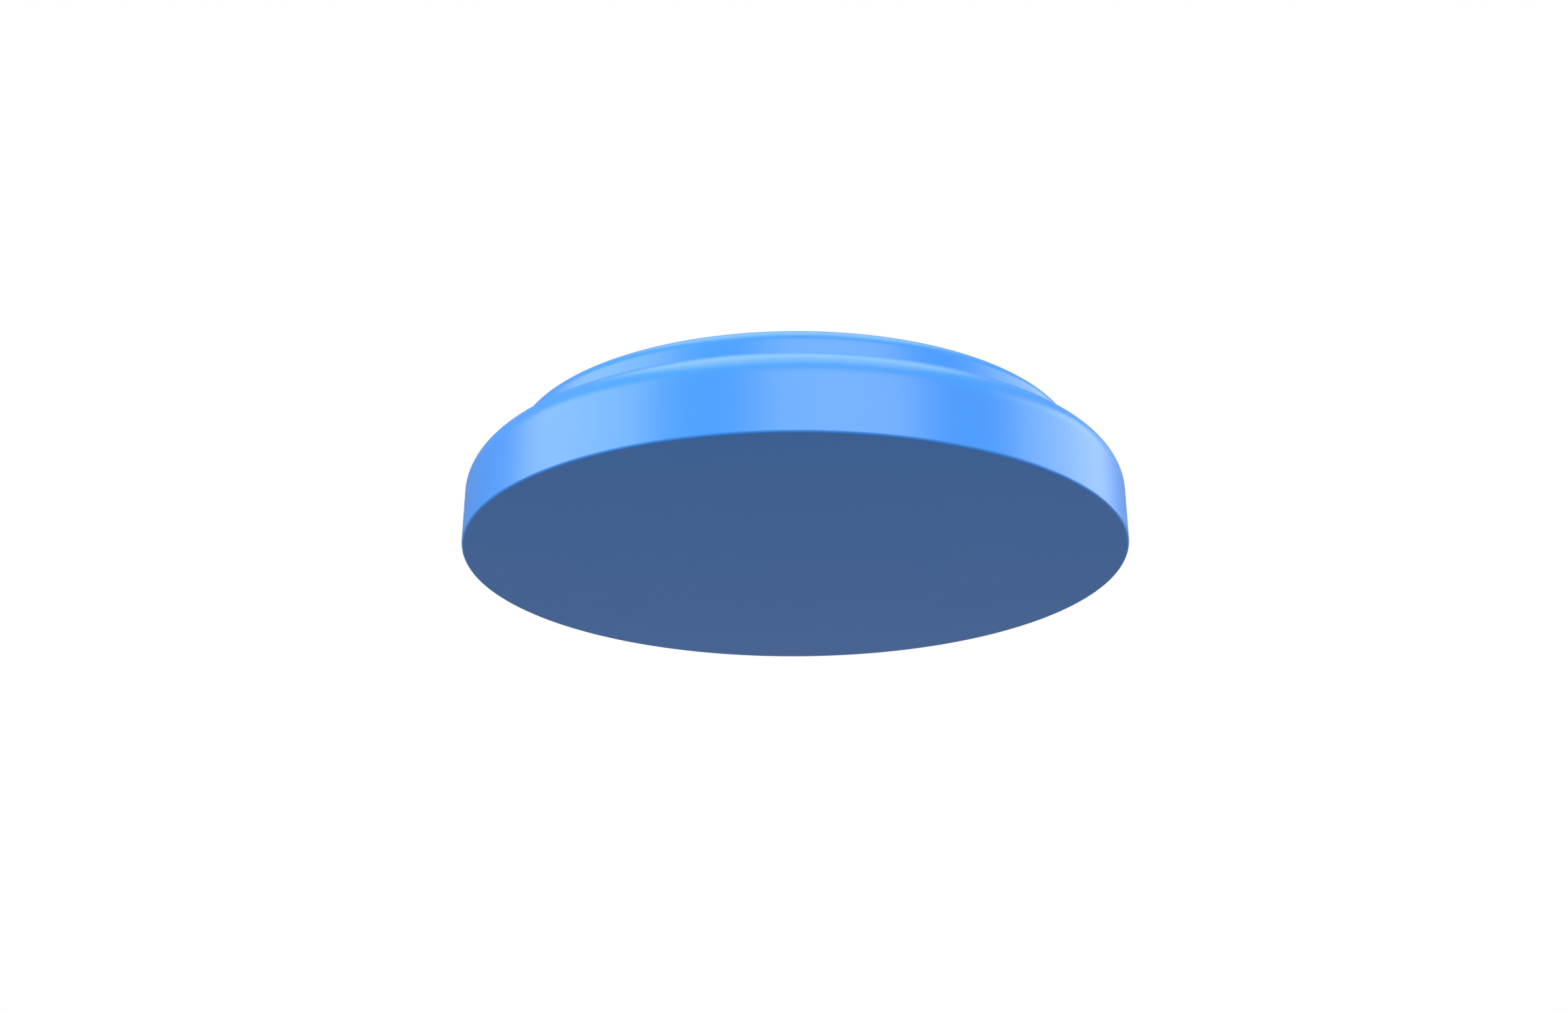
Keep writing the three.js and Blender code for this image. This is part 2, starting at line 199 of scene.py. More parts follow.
def pick(piece, kind, test):
    """In edit mode, selects only the faces or edges whose corners all pass test(radius, z, angle)."""
    bpy.ops.mesh.select_mode(type=kind)
    bpy.ops.mesh.select_all(action="DESELECT")
    shape = bmesh.from_edit_mesh(piece.data)
    for part in shape.faces if kind == "FACE" else shape.edges:
        corners = [corner.co for corner in part.verts]
        part.select = all(test(co.xy.length, co.z, math.degrees(math.atan2(co.y, co.x))) for co in corners)
    shape.select_flush(True)
    bmesh.update_edit_mesh(piece.data)


def near(value, wanted):
    return abs(value - wanted) < 0.004 * MM


def turn(radius, z, stops):
    """Draws the selected round face in and out, as on a lathe, through each stop's radius and height."""
    for next_radius, next_z in stops:
        bpy.ops.mesh.extrude_region_move(TRANSFORM_OT_translate={"value": (0, 0, next_z - z)})
        scale = next_radius / radius
        bpy.ops.transform.resize(value=(scale, scale, 1), center_override=(0, 0, 0))
        radius, z = next_radius, next_z


def round_edge(piece, radius, z, offset, segments):
    """Rounds the circular edge at that radius and height."""
    pick(piece, "EDGE", lambda r, height, angle: near(r, radius) and near(height, z))
    bpy.ops.mesh.bevel(offset=offset, segments=segments, profile=0.5, affect="EDGES")


def break_edges(piece, width):
    """Softens every sharp edge by that width, and smooths the shading."""
    if piece.mode == "EDIT":
        bpy.ops.object.mode_set(mode="OBJECT")
    edge = piece.modifiers.new("edges", "BEVEL")
    edge.width = width
    edge.segments = 2
    edge.limit_method = "ANGLE"
    edge.angle_limit = math.radians(32)
    bpy.ops.object.modifier_apply(modifier=edge.name)
    bpy.ops.object.mode_set(mode="EDIT")
    bpy.ops.mesh.select_all(action="SELECT")
    bpy.ops.mesh.dissolve_degenerate(threshold=0.0005 * MM)
    bpy.ops.object.mode_set(mode="OBJECT")
    bpy.ops.object.shade_smooth_by_angle(angle=math.radians(32))
    flats = piece.modifiers.new("flats", "WEIGHTED_NORMAL")
    flats.keep_sharp = True
    bpy.ops.object.modifier_apply(modifier=flats.name)


base_shell = round_bar("base_shell_moulding", TOKEN_R, 0, BASE_HEIGHT)
bpy.ops.object.mode_set(mode="EDIT")
pick(base_shell, "FACE", lambda r, z, angle: near(z, BASE_HEIGHT))
turn(TOKEN_R, BASE_HEIGHT, [
    (MOUTH_R, BASE_HEIGHT),
    (MOUTH_R, LEDGE_Z),
    (CAVITY_R, LEDGE_Z),
    (CAVITY_R, FLOOR_Z),
    (KEY_R, FLOOR_Z),
    (FENCE_OUTER_R, FLOOR_Z),
    (FENCE_OUTER_R, FENCE_Z),
    (FENCE_INNER_R, FENCE_Z),
    (FENCE_INNER_R, FLOOR_Z),
    (POST_R, FLOOR_Z),
    (POST_R, POST_Z),
])
round_edge(base_shell, TOKEN_R, BASE_HEIGHT, SHOULDER_R, 20)
round_edge(base_shell, TOKEN_R, 0, FOOT_EDGE_R, 4)


def in_key(angle):
    return abs(angle) > 180 - KEY_HALF_ANGLE


def cavity_wall_at_key(r, z, angle):
    return near(r, CAVITY_R) and in_key(angle)


# The key that stops the board from turning: the floor is raised to the ledge against the opened wall.
pick(base_shell, "FACE", cavity_wall_at_key)
bpy.ops.mesh.delete(type="FACE")
pick(base_shell, "FACE", lambda r, z, angle: near(z, FLOOR_Z) and r > KEY_R - 0.01 * MM and in_key(angle))
bpy.ops.mesh.extrude_region_move(TRANSFORM_OT_translate={"value": (0, 0, LEDGE_Z - FLOOR_Z)})
pick(base_shell, "FACE", cavity_wall_at_key)
bpy.ops.mesh.delete(type="FACE")
bpy.ops.mesh.select_all(action="SELECT")
bpy.ops.mesh.remove_doubles(threshold=0.001 * MM)
break_edges(base_shell, MOULD_EDGE)


def moulded_abs():
    """Moulded ABS, blue in the mass, from a spark-eroded mould. The skin is satin with a very fine grain,
    and handling has polished it a little more in some places than in others."""
    material = bpy.data.materials.new("moulded_abs_blue")
    material.use_nodes = True
    tree = material.node_tree
    tree.nodes.clear()
    place = node(tree, "ShaderNodeTexCoord").outputs["Object"]
    cloud = node(tree, "ShaderNodeTexNoise", Vector=place, Scale=1 / (6 * MM), Detail=3.0)
    colour = node(tree, "ShaderNodeMix", {"data_type": "RGBA"}, Factor=cloud.outputs["Fac"])
    colour.inputs["A"].default_value = linear("#368AE8")
    colour.inputs["B"].default_value = linear("#3A8EEA")
    wear = node(tree, "ShaderNodeTexNoise", Vector=place, Scale=1 / (4 * MM), Detail=5.0, Roughness=0.65)
    gloss = node(tree, "ShaderNodeMapRange", Value=wear.outputs["Fac"], To_Min=0.3, To_Max=0.36)
    grain = node(tree, "ShaderNodeTexNoise", Vector=place, Scale=1 / (0.12 * MM), Detail=2.0)
    skin = node(tree, "ShaderNodeBump", Strength=0.02, Distance=0.01 * MM, Height=grain.outputs["Fac"])
    shader = node(tree, "ShaderNodeBsdfPrincipled", Roughness=gloss.outputs[0], Normal=skin.outputs[0])
    tree.links.new(colour.outputs["Result"], shader.inputs["Base Color"])
    shader.inputs["IOR"].default_value = 1.53
    node(tree, "ShaderNodeOutputMaterial", Surface=shader.outputs[0])
    return material


shell_abs = moulded_abs()
base_shell.data.materials.append(shell_abs)
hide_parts("base_shell")
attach(base_shell, "root")


# Adhesive film. A die-cut ring of clear acrylic transfer adhesive. It holds the board down on the floor.
BOARD_Z = 1.1 * MM
FILM_INNER_R, FILM_OUTER_R = 6.4 * MM, 11.4 * MM


def bored_bar(name, inner, outer, low, high, sides=ROUND_SIDES):
    """Starts a ring: a round bar that is bored right through."""
    piece = round_bar(name, outer, low, high, sides)
    bpy.ops.object.mode_set(mode="EDIT")
    for z_of_end in (low, high):
        pick(piece, "FACE", lambda r, z, angle: near(z, z_of_end))
        turn(outer, z_of_end, [(inner, z_of_end)])
        bpy.ops.mesh.delete(type="FACE")
    pick(piece, "EDGE", lambda r, z, angle: near(r, inner))
    bpy.ops.mesh.bridge_edge_loops()
    bpy.ops.mesh.select_all(action="SELECT")
    bpy.ops.mesh.normals_make_consistent(inside=False)
    bpy.ops.object.mode_set(mode="OBJECT")
    return piece


def finish(piece, material, cad_node):
    """Gives a piece its material, and puts it in the place of the solid model's piece."""
    piece.data.materials.append(material)
    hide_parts(cad_node)
    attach(piece, "root")


def acrylic_adhesive():
    """Acrylic transfer adhesive: cloudy, cream-coloured and half glossy, with small trapped bubbles."""
    material = bpy.data.materials.new("acrylic_transfer_adhesive")
    material.use_nodes = True
    tree = material.node_tree
    tree.nodes.clear()
    place = node(tree, "ShaderNodeTexCoord").outputs["Object"]
    bubbles = node(tree, "ShaderNodeTexVoronoi", Vector=place, Scale=1 / (0.5 * MM))
    edge = node(tree, "ShaderNodeMapRange", Value=bubbles.outputs["Distance"], From_Min=0.1, From_Max=0.25)
    colour = node(tree, "ShaderNodeMix", {"data_type": "RGBA"}, Factor=edge.outputs[0])
    colour.inputs["A"].default_value = linear("#F2EEDD")
    colour.inputs["B"].default_value = linear("#E4DDC6")
    skin = node(tree, "ShaderNodeBump", Strength=0.3, Distance=0.02 * MM, Height=edge.outputs[0])
    shader = node(tree, "ShaderNodeBsdfPrincipled", Roughness=0.38, IOR=1.47, Normal=skin.outputs[0])
    tree.links.new(colour.outputs["Result"], shader.inputs["Base Color"])
    node(tree, "ShaderNodeOutputMaterial", Surface=shader.outputs[0])
    return material


film = bored_bar("die_cut_adhesive_ring", FILM_INNER_R, FILM_OUTER_R, FLOOR_Z, BOARD_Z)
break_edges(film, 0.015 * MM)
finish(film, acrylic_adhesive(), "adhesive_film")


# Inlay board. A routed ring of FR4 glass-epoxy laminate with green solder mask on its faces. A notch in its
# rim fits over the base shell's key.
BOARD_TOP_Z = 1.5 * MM
BOARD_INNER_R, BOARD_OUTER_R = 6.3 * MM, 11.8 * MM
NOTCH_R, NOTCH_WIDTH = 11.35 * MM, 1.5 * MM


def block(name, length, width, low, high, radius, degrees):
    """Starts a square piece: a block with its length along the radius, at that radius and angle."""
    bpy.ops.object.select_all(action="DESELECT")
    bpy.ops.mesh.primitive_cube_add(size=1, location=(radius, 0, (low + high) / 2))
    piece = bpy.context.object
    piece.name = piece.data.name = name
    piece.scale = (length, width, high - low)
    bpy.ops.object.transform_apply(location=True, rotation=True, scale=True)
    piece.rotation_euler = (0, 0, math.radians(degrees))
    bpy.ops.object.transform_apply(location=True, rotation=True, scale=True)
    return piece


def cut_away(piece, cutter):
    """Cuts one solid out of another, and throws the cutter away."""
    cut = piece.modifiers.new("cut", "BOOLEAN")
    cut.operation = "DIFFERENCE"
    cut.solver = "EXACT"
    cut.object = cutter
    bpy.context.view_layer.objects.active = piece
    bpy.ops.object.modifier_apply(modifier=cut.name)
    bpy.data.objects.remove(cutter)
    bpy.ops.object.select_all(action="DESELECT")
    piece.select_set(True)


def fr4_laminate():
    """FR4: woven glass in epoxy. The solder mask is green and glossy, and the cloth below shows through it as
    a fine square weave. The routed edges are bare, pale and matt."""
    material = bpy.data.materials.new("fr4_green_solder_mask")
    material.use_nodes = True
    tree = material.node_tree
    tree.nodes.clear()
    coordinates = node(tree, "ShaderNodeTexCoord")
    place = coordinates.outputs["Object"]
    # One wave of the texture is 2 pi / 20 of its unit, and the threads lie 0.5 mm apart.
    threads = {"Vector": place, "Scale": 2 * math.pi / 20 / (0.5 * MM), "Distortion": 0.4}
    warp = node(tree, "ShaderNodeTexWave", {"bands_direction": "X"}, **threads)
    weft = node(tree, "ShaderNodeTexWave", {"bands_direction": "Y"}, **threads)
    crossed = {"operation": "MULTIPLY"}
    weave = node(tree, "ShaderNodeMath", crossed, _0=warp.outputs["Fac"], _1=weft.outputs["Fac"])
    mask = node(tree, "ShaderNodeMix", {"data_type": "RGBA"}, Factor=weave.outputs[0])
    mask.inputs["A"].default_value = linear("#23603A")
    mask.inputs["B"].default_value = linear("#2C6C43")
    up = node(tree, "ShaderNodeSeparateXYZ", Vector=coordinates.outputs["Normal"]).outputs["Z"]
    flat = node(tree, "ShaderNodeMath", {"operation": "ABSOLUTE"}, _0=up)
    on_face = node(tree, "ShaderNodeMapRange", Value=flat.outputs[0], From_Min=0.6, From_Max=0.8)
    colour = node(tree, "ShaderNodeMix", {"data_type": "RGBA"}, Factor=on_face.outputs[0])
    colour.inputs["A"].default_value = linear("#B9A873")
    tree.links.new(mask.outputs["Result"], colour.inputs["B"])
    gloss = node(tree, "ShaderNodeMapRange", Value=on_face.outputs[0], To_Min=0.75, To_Max=0.28)
    skin = node(tree, "ShaderNodeBump", Strength=0.25, Distance=0.02 * MM, Height=weave.outputs[0])
    shader = node(tree, "ShaderNodeBsdfPrincipled", Roughness=gloss.outputs[0], Normal=skin.outputs[0])
    shader.inputs["IOR"].default_value = 1.5
    tree.links.new(colour.outputs["Result"], shader.inputs["Base Color"])
    node(tree, "ShaderNodeOutputMaterial", Surface=shader.outputs[0])
    return material


board = bored_bar("routed_antenna_board", BOARD_INNER_R, BOARD_OUTER_R, BOARD_Z, BOARD_TOP_Z)
notch_length = 2 * (BOARD_OUTER_R - NOTCH_R)
cut_away(board, block("notch", notch_length, NOTCH_WIDTH, 0, 2 * BOARD_TOP_Z, BOARD_OUTER_R, 180))
break_edges(board, 0.03 * MM)
finish(board, fr4_laminate(), "inlay_board")


# Copper tracks. Two arcs of foil, etched on the board. The chip, the capacitor and the coil's ends join them.
TRACK_TOP_Z = 1.55 * MM
TRACKS = {"inner_track": (6.9 * MM, 7.5 * MM), "outer_track": (8.5 * MM, 9.1 * MM)}
TRACK_FROM, TRACK_TO = -12, 48


def etched_copper():
    """Etched copper foil: bright pink metal under a thin brown tarnish, with the fine lines of rolling."""
    material = bpy.data.materials.new("etched_copper_foil")
    material.use_nodes = True
    tree = material.node_tree
    tree.nodes.clear()
    place = node(tree, "ShaderNodeTexCoord").outputs["Object"]
    blotches = node(tree, "ShaderNodeTexNoise", Vector=place, Scale=1 / (0.8 * MM), Detail=4.0)
    tarnish = node(tree, "ShaderNodeMapRange", Value=blotches.outputs["Fac"], From_Min=0.35, From_Max=0.7)
    colour = node(tree, "ShaderNodeMix", {"data_type": "RGBA"}, Factor=tarnish.outputs[0])
    colour.inputs["A"].default_value = linear("#D98F63")
    colour.inputs["B"].default_value = linear("#B5683D")
    gloss = node(tree, "ShaderNodeMapRange", Value=tarnish.outputs[0], To_Min=0.26, To_Max=0.42)
    stretched = node(tree, "ShaderNodeMapping", Vector=place, Scale=(1, 14, 1))
    lines = node(tree, "ShaderNodeTexNoise", Vector=stretched.outputs[0], Scale=1 / (0.5 * MM), Detail=2.0)
    skin = node(tree, "ShaderNodeBump", Strength=0.15, Distance=0.01 * MM, Height=lines.outputs["Fac"])
    shader = node(tree, "ShaderNodeBsdfPrincipled", Roughness=gloss.outputs[0], Normal=skin.outputs[0])
    shader.inputs["Metallic"].default_value = 1.0
    tree.links.new(colour.outputs["Result"], shader.inputs["Base Color"])
    node(tree, "ShaderNodeOutputMaterial", Surface=shader.outputs[0])
    return material


copper = etched_copper()
for track_node, (track_inner, track_outer) in TRACKS.items():
    track = bored_bar(f"etched_{track_node}", track_inner, track_outer, BOARD_TOP_Z, TRACK_TOP_Z)
    bpy.ops.object.mode_set(mode="EDIT")
    for end, turned_to in ((TRACK_FROM, 90), (TRACK_TO, -90)):
        across = math.radians(end + turned_to)
        bpy.ops.mesh.select_all(action="SELECT")
        facing = (math.cos(across), math.sin(across), 0)
        bpy.ops.mesh.bisect(
            plane_co=(0, 0, 0), plane_no=facing, use_fill=True, clear_inner=True, threshold=0.0001 * MM
        )
    break_edges(track, 0.012 * MM)
    finish(track, copper, track_node)


# Chip. A bare silicon die between the two tracks, sawn from a wafer, under a dome of black epoxy that was
# let fall on it and cured. The dome has a pocket for the die.
CHIP_R, DIE_SIDE, DIE_TOP_Z = 8 * MM, 0.8 * MM, 1.65 * MM
GLOB_R, GLOB_HEIGHT = 1.3 * MM, 0.6 * MM
SEAT_Z = 1.56 * MM
DOME_STEPS, DOME_FOOT_SHARE = 14, 0.1


def polished_silicon():
    """Silicon with its circuit: dark grey and mirror-smooth, with the brighter grid of its top metal."""
    material = bpy.data.materials.new("polished_silicon")
    material.use_nodes = True
    tree = material.node_tree
    tree.nodes.clear()
    place = node(tree, "ShaderNodeTexCoord").outputs["Object"]
    cells = node(tree, "ShaderNodeTexBrick", Vector=place, Scale=1 / (0.2 * MM), Mortar_Size=0.03)
    cells.inputs["Color1"].default_value = linear("#3D4250")
    cells.inputs["Color2"].default_value = linear("#565B6B")
    cells.inputs["Mortar"].default_value = linear("#A9A59A")
    gloss = node(tree, "ShaderNodeMapRange", Value=cells.outputs["Fac"], To_Min=0.12, To_Max=0.3)
    shader = node(tree, "ShaderNodeBsdfPrincipled", Metallic=0.6, Roughness=gloss.outputs[0])
    tree.links.new(cells.outputs["Color"], shader.inputs["Base Color"])
    node(tree, "ShaderNodeOutputMaterial", Surface=shader.outputs[0])
    return material


def black_epoxy():
    """Glob-top epoxy: black and glossy, because it cured from a liquid, with a slight orange peel."""
    material = bpy.data.materials.new("glob_top_epoxy")
    material.use_nodes = True
    tree = material.node_tree
    tree.nodes.clear()
    place = node(tree, "ShaderNodeTexCoord").outputs["Object"]
    peel = node(tree, "ShaderNodeTexNoise", Vector=place, Scale=1 / (0.35 * MM), Detail=2.0)
    colour = node(tree, "ShaderNodeMix", {"data_type": "RGBA"}, Factor=peel.outputs["Fac"])
    colour.inputs["A"].default_value = linear("#101013")
    colour.inputs["B"].default_value = linear("#1E1E22")
    gloss = node(tree, "ShaderNodeMapRange", Value=peel.outputs["Fac"], To_Min=0.2, To_Max=0.4)
    skin = node(tree, "ShaderNodeBump", Strength=0.2, Distance=0.02 * MM, Height=peel.outputs["Fac"])
    shader = node(tree, "ShaderNodeBsdfPrincipled", Roughness=gloss.outputs[0], Normal=skin.outputs[0])
    shader.inputs["IOR"].default_value = 1.55
    tree.links.new(colour.outputs["Result"], shader.inputs["Base Color"])
    node(tree, "ShaderNodeOutputMaterial", Surface=shader.outputs[0])
    return material


def dome(name, radius, height, low, sides, roundness=1.0):
    """Starts a drop: a round bar drawn in along an arc, with a short foot, round the upright axis. A lower
    roundness gives fuller shoulders."""
    foot = DOME_FOOT_SHARE * height
    foot_z = low + foot
    piece = round_bar(name, radius, low, foot_z, sides)
    bpy.ops.object.mode_set(mode="EDIT")
    pick(piece, "FACE", lambda r, z, angle: near(z, foot_z))
    arc = [math.radians(90 * i / DOME_STEPS) for i in range(1, DOME_STEPS)]
    rise = height - foot
    turn(radius, foot_z, [(radius * math.cos(a) ** roundness, foot_z + rise * math.sin(a)) for a in arc])
    bpy.ops.object.mode_set(mode="OBJECT")
    return piece


def place_at(piece, radius, degrees):
    """Moves a piece from the upright axis to that radius and angle. Its object stays at the origin."""
    angle = math.radians(degrees)
    piece.location = (radius * math.cos(angle), radius * math.sin(angle), 0)
    piece.rotation_euler = (0, 0, angle)
    bpy.ops.object.transform_apply(location=True, rotation=True, scale=True)


die = block("silicon_die", DIE_SIDE, DIE_SIDE, BOARD_TOP_Z, DIE_TOP_Z, CHIP_R, 0)
break_edges(die, 0.01 * MM)
finish(die, polished_silicon(), "chip_die")

glob = dome("epoxy_glob_top", GLOB_R, GLOB_HEIGHT, SEAT_Z, 96, roundness=0.8)
place_at(glob, CHIP_R, 0)
POCKET_SIDE = DIE_SIDE + 0.1 * MM
cut_away(glob, block("pocket", POCKET_SIDE, POCKET_SIDE, BOARD_TOP_Z, DIE_TOP_Z + 0.05 * MM, CHIP_R, 0))
break_edges(glob, 0.015 * MM)
finish(glob, black_epoxy(), "chip_glob")


# Tuning capacitor. A pressed and fired ceramic chip with tin-plated end caps. It bridges the two tracks.
CAPACITOR_ANGLE = 20
CAPACITOR_INNER_R, CAPACITOR_OUTER_R = 7.2 * MM, 8.8 * MM
TERMINAL_LENGTH, TERMINAL_WIDTH, TERMINAL_HEIGHT = 0.3 * MM, 0.8 * MM, 0.6 * MM
CERAMIC_SHY = 0.02 * MM
END_GAP = 0.005 * MM


def fired_ceramic():
    """Barium titanate ceramic: warm brown and matt, with the speckle of its fired grains."""
    material = bpy.data.materials.new("fired_barium_titanate")
    material.use_nodes = True
    tree = material.node_tree
    tree.nodes.clear()
    place = node(tree, "ShaderNodeTexCoord").outputs["Object"]
    grains = node(tree, "ShaderNodeTexNoise", Vector=place, Scale=1 / (0.06 * MM), Detail=3.0)
    colour = node(tree, "ShaderNodeMix", {"data_type": "RGBA"}, Factor=grains.outputs["Fac"])
    colour.inputs["A"].default_value = linear("#98724C")
    colour.inputs["B"].default_value = linear("#C29B70")
    skin = node(tree, "ShaderNodeBump", Strength=0.25, Distance=0.01 * MM, Height=grains.outputs["Fac"])
    shader = node(tree, "ShaderNodeBsdfPrincipled", Roughness=0.55, IOR=1.8, Normal=skin.outputs[0])
    tree.links.new(colour.outputs["Result"], shader.inputs["Base Color"])
    node(tree, "ShaderNodeOutputMaterial", Surface=shader.outputs[0])
    return material


def pale_metal(name, dark, light, patch, smoothest, roughest, bump):
    """A pale soft metal, plated or melted on: patches of that size differ a little in shade and gloss."""
    material = bpy.data.materials.new(name)
    material.use_nodes = True
    tree = material.node_tree
    tree.nodes.clear()
    place = node(tree, "ShaderNodeTexCoord").outputs["Object"]
    patches = node(tree, "ShaderNodeTexNoise", Vector=place, Scale=1 / patch, Detail=4.0)
    colour = node(tree, "ShaderNodeMix", {"data_type": "RGBA"}, Factor=patches.outputs["Fac"])
    colour.inputs["A"].default_value = linear(dark)
    colour.inputs["B"].default_value = linear(light)
    gloss = node(tree, "ShaderNodeMapRange", Value=patches.outputs["Fac"], To_Min=smoothest, To_Max=roughest)
    skin = node(tree, "ShaderNodeBump", Strength=bump, Distance=0.01 * MM, Height=patches.outputs["Fac"])
    shader = node(tree, "ShaderNodeBsdfPrincipled", Roughness=gloss.outputs[0], Normal=skin.outputs[0])
    shader.inputs["Metallic"].default_value = 1.0
    tree.links.new(colour.outputs["Result"], shader.inputs["Base Color"])
    node(tree, "ShaderNodeOutputMaterial", Surface=shader.outputs[0])
    return material


def capacitor_block(name, inner, outer, shy, rounding):
    """One part of the chip, from one radius to another, with rounded edges."""
    low, high = SEAT_Z, SEAT_Z + TERMINAL_HEIGHT - 2 * shy
    width = TERMINAL_WIDTH - 2 * shy
    length = outer - inner - 2 * END_GAP
    piece = block(name, length, width, low, high, (inner + outer) / 2, CAPACITOR_ANGLE)
    edge = piece.modifiers.new("rounding", "BEVEL")
    edge.width = rounding
    edge.segments = 4
    bpy.ops.object.modifier_apply(modifier=edge.name)
    bpy.ops.object.shade_smooth_by_angle(angle=math.radians(50))
    return piece


# Tin plating is satin and nearly white, and the barrel that it is plated in leaves it slightly mottled.
barrel_plated_tin = pale_metal("barrel_plated_tin", "#C4C6C9", "#DEDFE1", 0.1 * MM, 0.32, 0.48, 0.2)
body_inner_r = CAPACITOR_INNER_R + TERMINAL_LENGTH
body_outer_r = CAPACITOR_OUTER_R - TERMINAL_LENGTH
ceramic_body = capacitor_block("ceramic_body", body_inner_r, body_outer_r, CERAMIC_SHY, 0.03 * MM)
finish(ceramic_body, fired_ceramic(), "tuning_capacitor")
inner_cap = capacitor_block("inner_end_cap", CAPACITOR_INNER_R, body_inner_r, 0, 0.07 * MM)
finish(inner_cap, barrel_plated_tin, "capacitor_terminal_inner")
outer_cap = capacitor_block("outer_end_cap", body_outer_r, CAPACITOR_OUTER_R, 0, 0.07 * MM)
finish(outer_cap, barrel_plated_tin, "capacitor_terminal_outer")


# Antenna coil. Enamelled copper wire, wound in five flat turns. Its start leaves the outer track, and its
# end rises over the turns and comes in to the inner track.
WIRE_R = 0.11 * MM
TURNS, FIRST_TURN_R, TURN_PITCH = 5, 10 * MM, 0.28 * MM
START_ANGLE, END_ANGLE = 33, 42
WIRE_BEND_R = 0.8 * MM
BEND_STEPS = 8
TURNS_Z, LEAD_Z, BRIDGE_Z = 1.63 * MM, 1.68 * MM, 1.89 * MM
RISE_FROM, RISE_TO = 30, 10
OUTER_TRACK_MID_R, INNER_TRACK_MID_R = 8.8 * MM, 7.2 * MM
START_INSET, END_INSET = 0.1 * MM, 0.25 * MM
LANDING_R, LIFT_R = 7.5 * MM, 8.5 * MM
WIRE_STEP = 3
BRIDGE_STEPS = 24


def enamelled_copper():
    """Copper wire under a polyester enamel: an amber-red metal with a clear glossy coat over it."""
    material = bpy.data.materials.new("enamelled_copper_wire")
    material.use_nodes = True
    tree = material.node_tree
    tree.nodes.clear()
    place = node(tree, "ShaderNodeTexCoord").outputs["Object"]
    shade = node(tree, "ShaderNodeTexNoise", Vector=place, Scale=1 / (1.5 * MM), Detail=3.0)
    colour = node(tree, "ShaderNodeMix", {"data_type": "RGBA"}, Factor=shade.outputs["Fac"])
    colour.inputs["A"].default_value = linear("#A8481F")
    colour.inputs["B"].default_value = linear("#C96A35")
    gloss = node(tree, "ShaderNodeMapRange", Value=shade.outputs["Fac"], To_Min=0.22, To_Max=0.34)
    shader = node(tree, "ShaderNodeBsdfPrincipled", Metallic=1.0, Roughness=gloss.outputs[0])
    shader.inputs["Coat Weight"].default_value = 1.0
    shader.inputs["Coat Roughness"].default_value = 0.08
    shader.inputs["Coat IOR"].default_value = 1.6
    tree.links.new(colour.outputs["Result"], shader.inputs["Base Color"])
    node(tree, "ShaderNodeOutputMaterial", Surface=shader.outputs[0])
    return material


def on_board(radius, degrees, z):
    return (radius * math.cos(math.radians(degrees)), radius * math.sin(math.radians(degrees)), z)


def smooth(value, low, high):
    share = min(max((value - low) / (high - low), 0), 1)
    return share * share * (3 - 2 * share)


def quarter_bend(radius, degrees, sweep, radial_z, turn_z):
    """The bend from a radial stretch at degrees to the turn at radius, which it meets sweep degrees on."""
    route = []
    for i in range(BEND_STEPS):
        angle = math.radians(90 * i / BEND_STEPS)
        along = radius - WIRE_BEND_R * (1 - math.sin(angle))
        z = radial_z + (turn_z - radial_z) * smooth(i, 0, BEND_STEPS)
        route.append(on_board(along, degrees + sweep * (1 - math.cos(angle)), z))
    return route


def coil_route():
    bend = math.degrees(WIRE_BEND_R / FIRST_TURN_R)
    first, last = START_ANGLE + bend, END_ANGLE - bend + 360 * TURNS
    route = []
    route.append(on_board(OUTER_TRACK_MID_R - START_INSET, START_ANGLE, LEAD_Z))
    route += quarter_bend(FIRST_TURN_R, START_ANGLE, bend, LEAD_Z, TURNS_Z)
    steps = round((last - first) / WIRE_STEP)
    for i in range(steps + 1):
        degrees = first + (last - first) * i / steps
        radius = FIRST_TURN_R + TURN_PITCH * (degrees - first) / 360
        z = TURNS_Z + (BRIDGE_Z - TURNS_Z) * smooth(degrees, last - RISE_FROM, last - RISE_TO)
        route.append(on_board(radius, degrees, z))
    route += reversed(quarter_bend(radius, END_ANGLE, -bend, BRIDGE_Z, BRIDGE_Z))
    bridge_r, end_r = radius - WIRE_BEND_R, INNER_TRACK_MID_R - END_INSET
    for i in range(1, BRIDGE_STEPS + 1):
        along = bridge_r + (end_r - bridge_r) * i / BRIDGE_STEPS
        z = LEAD_Z + (BRIDGE_Z - LEAD_Z) * smooth(along, LANDING_R, LIFT_R)
        route.append(on_board(along, END_ANGLE, z))
    return route


def wire_along(name, route, radius):
    """A round wire along a route, with closed ends, as a mesh."""
    curve = bpy.data.curves.new(name, "CURVE")
    curve.dimensions = "3D"
    curve.bevel_depth = radius
    curve.bevel_resolution = 4
    curve.use_fill_caps = True
    strand = curve.splines.new("POLY")
    strand.points.add(len(route) - 1)
    for point, place in zip(strand.points, route):
        point.co = (*place, 1)
    wire = bpy.data.objects.new(name, curve)
    bpy.context.scene.collection.objects.link(wire)
    bpy.ops.object.select_all(action="DESELECT")
    wire.select_set(True)
    bpy.context.view_layer.objects.active = wire
    bpy.ops.object.convert(target="MESH")
    wire = bpy.context.object
    bpy.ops.object.mode_set(mode="EDIT")
    bpy.ops.mesh.select_all(action="SELECT")
    bpy.ops.mesh.remove_doubles(threshold=0.001 * MM)
    bpy.ops.mesh.normals_make_consistent(inside=False)
    bpy.ops.object.mode_set(mode="OBJECT")
    bpy.ops.object.shade_smooth_by_angle(angle=math.radians(60))
    return wire


coil = wire_along("wound_antenna_wire", coil_route(), WIRE_R)
finish(coil, enamelled_copper(), "antenna_coil")


